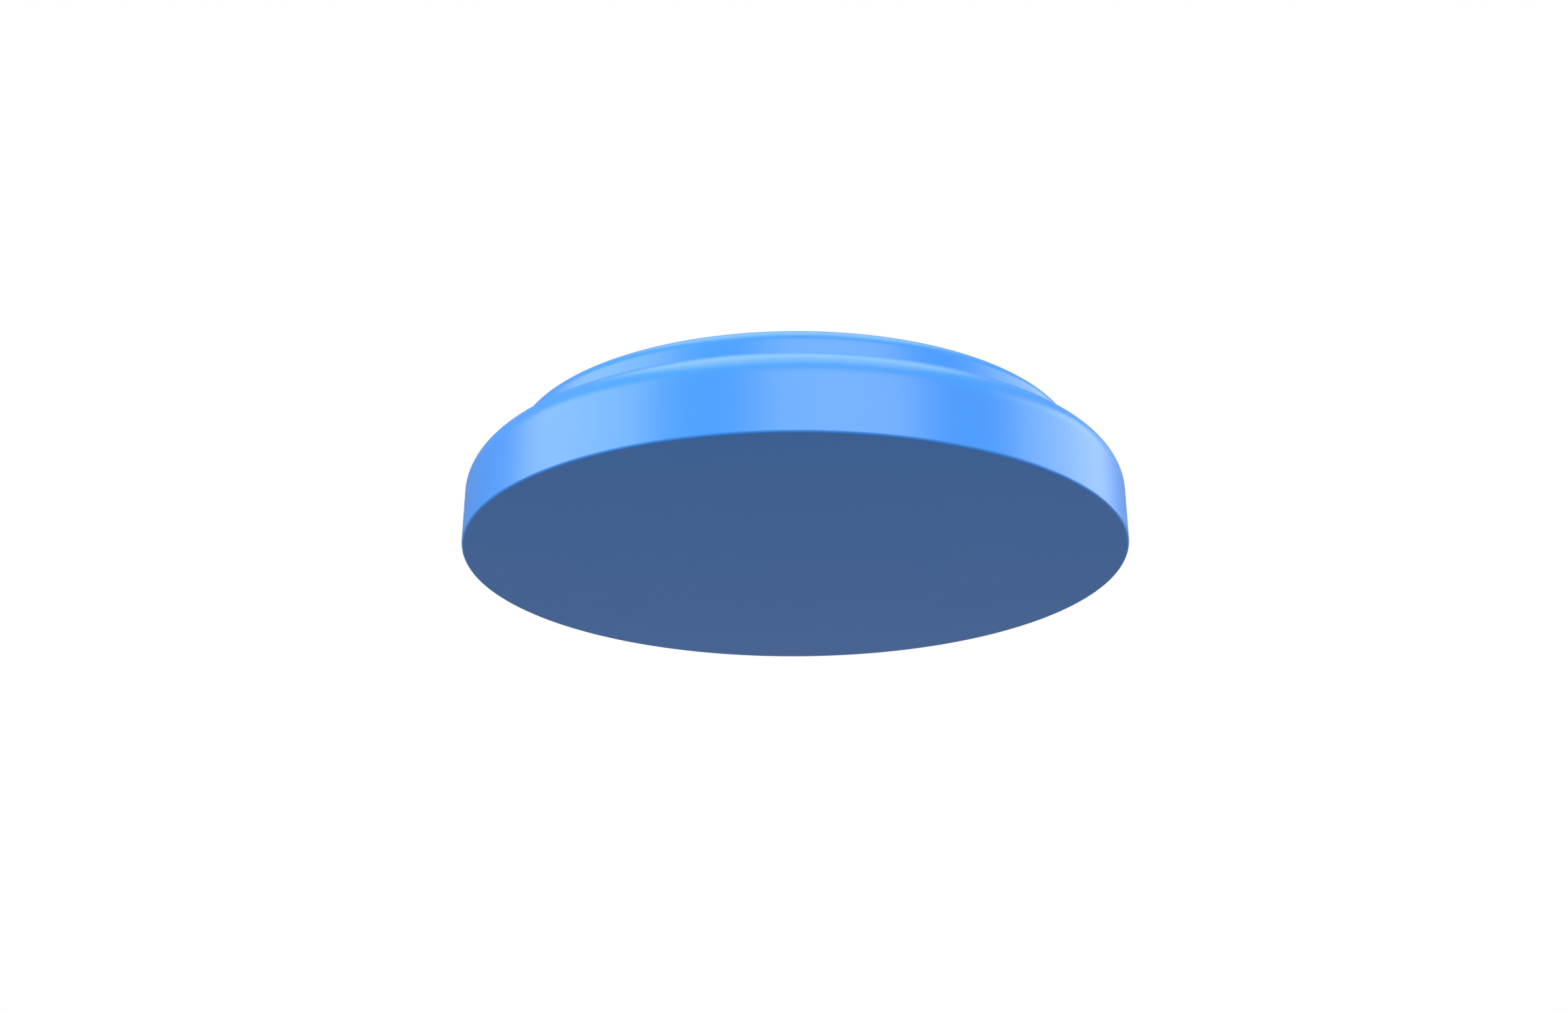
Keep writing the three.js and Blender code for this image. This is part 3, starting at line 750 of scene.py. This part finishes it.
# Solder. A drop holds each end of the coil on its track, and a concave fillet climbs each end cap of the
# capacitor. Tin alloy, melted on with an iron and left to set.
DROP_R, DROP_HEIGHT = 0.4 * MM, 0.42 * MM
WIRE_GAP = 0.015 * MM
FILLET_REACH, FILLET_CLIMB, FILLET_WIDTH = 0.22 * MM, 0.38 * MM, 0.7 * MM
FILLET_GAP = 0.01 * MM
HOLLOW_SHARE, HOLLOW_SEGMENTS, HOLLOW_PROFILE = 0.92, 10, 0.25

# Set solder is bright and very smooth, and crystals leave small frosted patches in it.
set_solder = pale_metal("reflowed_tin_solder", "#B9BCC1", "#DADCDF", 0.25 * MM, 0.14, 0.34, 0.3)

COIL_JOINTS = {
    "solder_coil_start": (OUTER_TRACK_MID_R, START_INSET, START_ANGLE),
    "solder_coil_end": (INNER_TRACK_MID_R, END_INSET, END_ANGLE),
}
for joint_node, (joint_r, wire_inset, joint_angle) in COIL_JOINTS.items():
    drop = dome(joint_node.replace("solder", "drop"), DROP_R, DROP_HEIGHT, SEAT_Z, 48)
    wire_hole = round_bar("wire_hole", WIRE_R + WIRE_GAP, -wire_inset - WIRE_GAP, 2 * DROP_R, 32)
    wire_hole.location = (0, 0, LEAD_Z)
    wire_hole.rotation_euler = (0, math.radians(90), 0)
    bpy.ops.object.transform_apply(location=True, rotation=True, scale=True)
    cut_away(drop, wire_hole)
    place_at(drop, joint_r, joint_angle)
    break_edges(drop, 0.008 * MM)
    finish(drop, set_solder, joint_node)


def along_x(radius, degrees):
    return radius * math.cos(math.radians(degrees))


for fillet_node, end_r, direction in (
    ("solder_capacitor_inner", CAPACITOR_INNER_R, -1),
    ("solder_capacitor_outer", CAPACITOR_OUTER_R, 1),
):
    near_r = end_r + direction * FILLET_GAP
    middle_r = near_r + direction * FILLET_REACH / 2
    fillet_name = fillet_node.replace("solder", "fillet")
    fillet = block(fillet_name, FILLET_REACH, FILLET_WIDTH, SEAT_Z, SEAT_Z + FILLET_REACH, middle_r, 0)
    bpy.ops.object.mode_set(mode="EDIT")
    outer_x = near_r + direction * FILLET_REACH
    top_z = SEAT_Z + FILLET_REACH
    pick(fillet, "EDGE", lambda r, z, angle: near(along_x(r, angle), outer_x) and near(z, top_z))
    bpy.ops.mesh.bevel(
        offset=HOLLOW_SHARE * FILLET_REACH, segments=HOLLOW_SEGMENTS, profile=HOLLOW_PROFILE, affect="EDGES"
    )
    bpy.ops.mesh.select_all(action="SELECT")
    stretch = FILLET_CLIMB / FILLET_REACH
    bpy.ops.transform.resize(value=(1, 1, stretch), center_override=(0, 0, SEAT_Z))
    bpy.ops.object.mode_set(mode="OBJECT")
    fillet.rotation_euler = (0, 0, math.radians(CAPACITOR_ANGLE))
    bpy.ops.object.transform_apply(location=True, rotation=True, scale=True)
    break_edges(fillet, 0.01 * MM)
    finish(fillet, set_solder, fillet_node)


# Ballast washer. A stamped and chamfered steel washer, zinc plated. It gives the token its weight, so that it
# falls cleanly through a chute, and the post in the middle of the base shell centres it.
WASHER_INNER_R, WASHER_OUTER_R, WASHER_TOP_Z = 1.6 * MM, 5.5 * MM, 2.6 * MM
WASHER_CHAMFER = 0.2 * MM


def zinc_plated_steel():
    """Barrel-plated zinc on stamped steel: cold grey and satin, with faint crystals and tumbling marks."""
    material = bpy.data.materials.new("zinc_plated_steel")
    material.use_nodes = True
    tree = material.node_tree
    tree.nodes.clear()
    place = node(tree, "ShaderNodeTexCoord").outputs["Object"]
    crystals = node(tree, "ShaderNodeTexVoronoi", Vector=place, Scale=1 / (0.7 * MM))
    tone = node(tree, "ShaderNodeSeparateColor", Color=crystals.outputs["Color"]).outputs["Red"]
    colour = node(tree, "ShaderNodeMix", {"data_type": "RGBA"}, Factor=tone)
    colour.inputs["A"].default_value = linear("#B8BCC1")
    colour.inputs["B"].default_value = linear("#BFC3C7")
    gloss = node(tree, "ShaderNodeMapRange", Value=tone, To_Min=0.3, To_Max=0.35)
    stretched = node(tree, "ShaderNodeMapping", Vector=place, Scale=(10, 1, 1), Rotation=(0, 0, 0.6))
    marks = node(tree, "ShaderNodeTexNoise", Vector=stretched.outputs[0], Scale=1 / (1.5 * MM), Detail=3.0)
    skin = node(tree, "ShaderNodeBump", Strength=0.12, Distance=0.01 * MM, Height=marks.outputs["Fac"])
    shader = node(tree, "ShaderNodeBsdfPrincipled", Roughness=gloss.outputs[0], Normal=skin.outputs[0])
    shader.inputs["Metallic"].default_value = 1.0
    tree.links.new(colour.outputs["Result"], shader.inputs["Base Color"])
    node(tree, "ShaderNodeOutputMaterial", Surface=shader.outputs[0])
    return material


washer = bored_bar("stamped_steel_washer", WASHER_INNER_R, WASHER_OUTER_R, FLOOR_Z, WASHER_TOP_Z)
bpy.ops.object.mode_set(mode="EDIT")
for face_z in (FLOOR_Z, WASHER_TOP_Z):
    round_edge(washer, WASHER_OUTER_R, face_z, WASHER_CHAMFER, 3)
break_edges(washer, 0.05 * MM)
finish(washer, zinc_plated_steel(), "ballast_washer")


# Foam ring. Soft open-cell polyurethane, die-cut. It fills the room between the coil and the cap and stops
# the board from rattling. Pressed between them, it bulges a little at its two round sides.
FOAM_INNER_R, FOAM_OUTER_R = 6.41 * MM, 11.39 * MM
FOAM_LOW_Z, FOAM_HIGH_Z = 2.26 * MM, 4.26 * MM
FOAM_BULGE = 0.12 * MM
CELL = 0.4 * MM
CELL_DEPTH = 0.1 * MM
FOAM_GRID = 0.14 * MM


def open_cell_foam():
    """Open-cell polyurethane foam, grey and dull. The pits where the cells are cut open are painted darker,
    as painted shade in the hollows, and the cell walls between them stay lighter.
    """
    material = bpy.data.materials.new("open_cell_polyurethane")
    material.use_nodes = True
    tree = material.node_tree
    tree.nodes.clear()
    place = node(tree, "ShaderNodeTexCoord").outputs["Object"]
    cells = node(tree, "ShaderNodeTexVoronoi", {"feature": "DISTANCE_TO_EDGE"}, Vector=place, Scale=1 / CELL)
    # Painted shade: this mask is high on the cell walls and low in the middle of each cell, so the pits get
    # the darker grey as painted shade; it is also the bump's height.
    wall_height_and_pit_shade = node(tree, "ShaderNodeMapRange", Value=cells.outputs["Distance"], From_Min=0.32, From_Max=0.0)
    colour = node(tree, "ShaderNodeMix", {"data_type": "RGBA"}, Factor=wall_height_and_pit_shade.outputs[0])
    colour.inputs["A"].default_value = linear("#46494C")
    colour.inputs["B"].default_value = linear("#64686C")
    skin = node(tree, "ShaderNodeBump", Strength=0.6, Distance=0.05 * MM, Height=wall_height_and_pit_shade.outputs[0])
    shader = node(tree, "ShaderNodeBsdfPrincipled", Roughness=0.92, Normal=skin.outputs[0])
    shader.inputs["Sheen Weight"].default_value = 0.2
    tree.links.new(colour.outputs["Result"], shader.inputs["Base Color"])
    node(tree, "ShaderNodeOutputMaterial", Surface=shader.outputs[0])
    return material


foam = bored_bar("die_cut_foam_ring", FOAM_INNER_R, FOAM_OUTER_R, FOAM_LOW_Z, FOAM_HIGH_Z)
bpy.ops.object.mode_set(mode="EDIT")
for side_r in (FOAM_INNER_R, FOAM_OUTER_R):
    for face_z in (FOAM_LOW_Z, FOAM_HIGH_Z):
        round_edge(foam, side_r, face_z, FOAM_BULGE, 5)
bpy.ops.object.mode_set(mode="OBJECT")
grid = foam.modifiers.new("grid", "REMESH")
grid.mode = "VOXEL"
grid.voxel_size = FOAM_GRID
bpy.ops.object.modifier_apply(modifier=grid.name)
evened = foam.modifiers.new("evened", "SMOOTH")
evened.factor = 0.5
evened.iterations = 4
bpy.ops.object.modifier_apply(modifier=evened.name)
cell_pattern = bpy.data.textures.new("foam_cells", "VORONOI")
cell_pattern.noise_scale = CELL
pits = foam.modifiers.new("pits", "DISPLACE")
pits.texture = cell_pattern
pits.texture_coords = "LOCAL"
pits.mid_level = 1.0
pits.strength = CELL_DEPTH
bpy.ops.object.modifier_apply(modifier=pits.name)
bpy.ops.object.shade_smooth()
finish(foam, open_cell_foam(), "foam_ring")


# Top cap. The narrow upper tier, moulded in the same blue ABS and welded into the base shell's mouth. Its
# skirt stands on the shell's ledge, and rings under its plate hold the foam and the weight. A milled border,
# a raised ring and a dished disc in the sunk field on top tell it by touch from the plain underside.
TIER_R = 13 * MM
TOKEN_HEIGHT = 5.5 * MM
TIER_EDGE_R = 0.65 * MM
CEILING_Z = 4.3 * MM
FOAM_FENCE_OUTER_R, FOAM_FENCE_INNER_R, FOAM_FENCE_Z = 6.2 * MM, 5.8 * MM, 3.9 * MM
HOLD_DOWN_OUTER_R, HOLD_DOWN_INNER_R, HOLD_DOWN_Z = 4.4 * MM, 3.4 * MM, 2.65 * MM
LAND_INNER_R = 10.9 * MM
FIELD_Z, EMBOSS_Z = 5.25 * MM, 5.42 * MM
DRAFT = 0.1 * MM
RIB_OUTER_R, RIB_INNER_R, RIB_HEIGHT = 10.4 * MM, 8.8 * MM, 0.14 * MM
SIDES_PER_RIB = 4
RAISED_RING_OUTER_R, RAISED_RING_INNER_R = 8.2 * MM, 7.6 * MM
DISC_R, DISH_R, DISH_DEPTH, DISH_STEPS = 3.6 * MM, 3.1 * MM, 0.17 * MM, 7
GATE_R, GATE_DEPTH = 0.35 * MM, 0.08 * MM

top_cap = round_bar("top_cap_moulding", TIER_R, LEDGE_Z, TOKEN_HEIGHT)
bpy.ops.object.mode_set(mode="EDIT")
pick(top_cap, "FACE", lambda r, z, angle: near(z, LEDGE_Z))
turn(TIER_R, LEDGE_Z, [
    (CAVITY_R, LEDGE_Z),
    (CAVITY_R, CEILING_Z),
    (FOAM_FENCE_OUTER_R, CEILING_Z),
    (FOAM_FENCE_OUTER_R, FOAM_FENCE_Z),
    (FOAM_FENCE_INNER_R, FOAM_FENCE_Z),
    (FOAM_FENCE_INNER_R, CEILING_Z),
    (HOLD_DOWN_OUTER_R, CEILING_Z),
    (HOLD_DOWN_OUTER_R, HOLD_DOWN_Z),
    (HOLD_DOWN_INNER_R, HOLD_DOWN_Z),
    (HOLD_DOWN_INNER_R, CEILING_Z),
])
pick(top_cap, "FACE", lambda r, z, angle: near(z, TOKEN_HEIGHT))
turn(TIER_R, TOKEN_HEIGHT, [
    (LAND_INNER_R, TOKEN_HEIGHT),
    (LAND_INNER_R - DRAFT, FIELD_Z),
    (RIB_OUTER_R, FIELD_Z),
    (RIB_INNER_R, FIELD_Z),
    (RAISED_RING_OUTER_R + DRAFT, FIELD_Z),
    (RAISED_RING_OUTER_R, EMBOSS_Z),
    (RAISED_RING_INNER_R, EMBOSS_Z),
    (RAISED_RING_INNER_R - DRAFT, FIELD_Z),
    (DISC_R + DRAFT, FIELD_Z),
    (DISC_R, EMBOSS_Z),
    (DISH_R, EMBOSS_Z),
])
dish_radii = [DISH_R * (1 - i / DISH_STEPS) for i in range(1, DISH_STEPS)]
dish_stops = [(r, EMBOSS_Z - DISH_DEPTH * (1 - (r / DISH_R) ** 2)) for r in dish_radii]
# The mark where the plastic was let into the mould is a small pit in the middle.
dish_floor_z = EMBOSS_Z - DISH_DEPTH
turn(DISH_R, EMBOSS_Z, [*dish_stops, (GATE_R, dish_floor_z), (0.9 * GATE_R, dish_floor_z - GATE_DEPTH)])


def under_rib(r, z, angle):
    side = round(angle * ROUND_SIDES / 360)
    in_border = RIB_INNER_R - 0.01 * MM < r < RIB_OUTER_R + 0.01 * MM
    return near(z, FIELD_Z) and in_border and side % SIDES_PER_RIB != SIDES_PER_RIB - 1


pick(top_cap, "FACE", under_rib)
bpy.ops.mesh.extrude_region_move(TRANSFORM_OT_translate={"value": (0, 0, RIB_HEIGHT)})
round_edge(top_cap, TIER_R, TOKEN_HEIGHT, TIER_EDGE_R, 12)
break_edges(top_cap, MOULD_EDGE)
finish(top_cap, shell_abs, "top_cap")
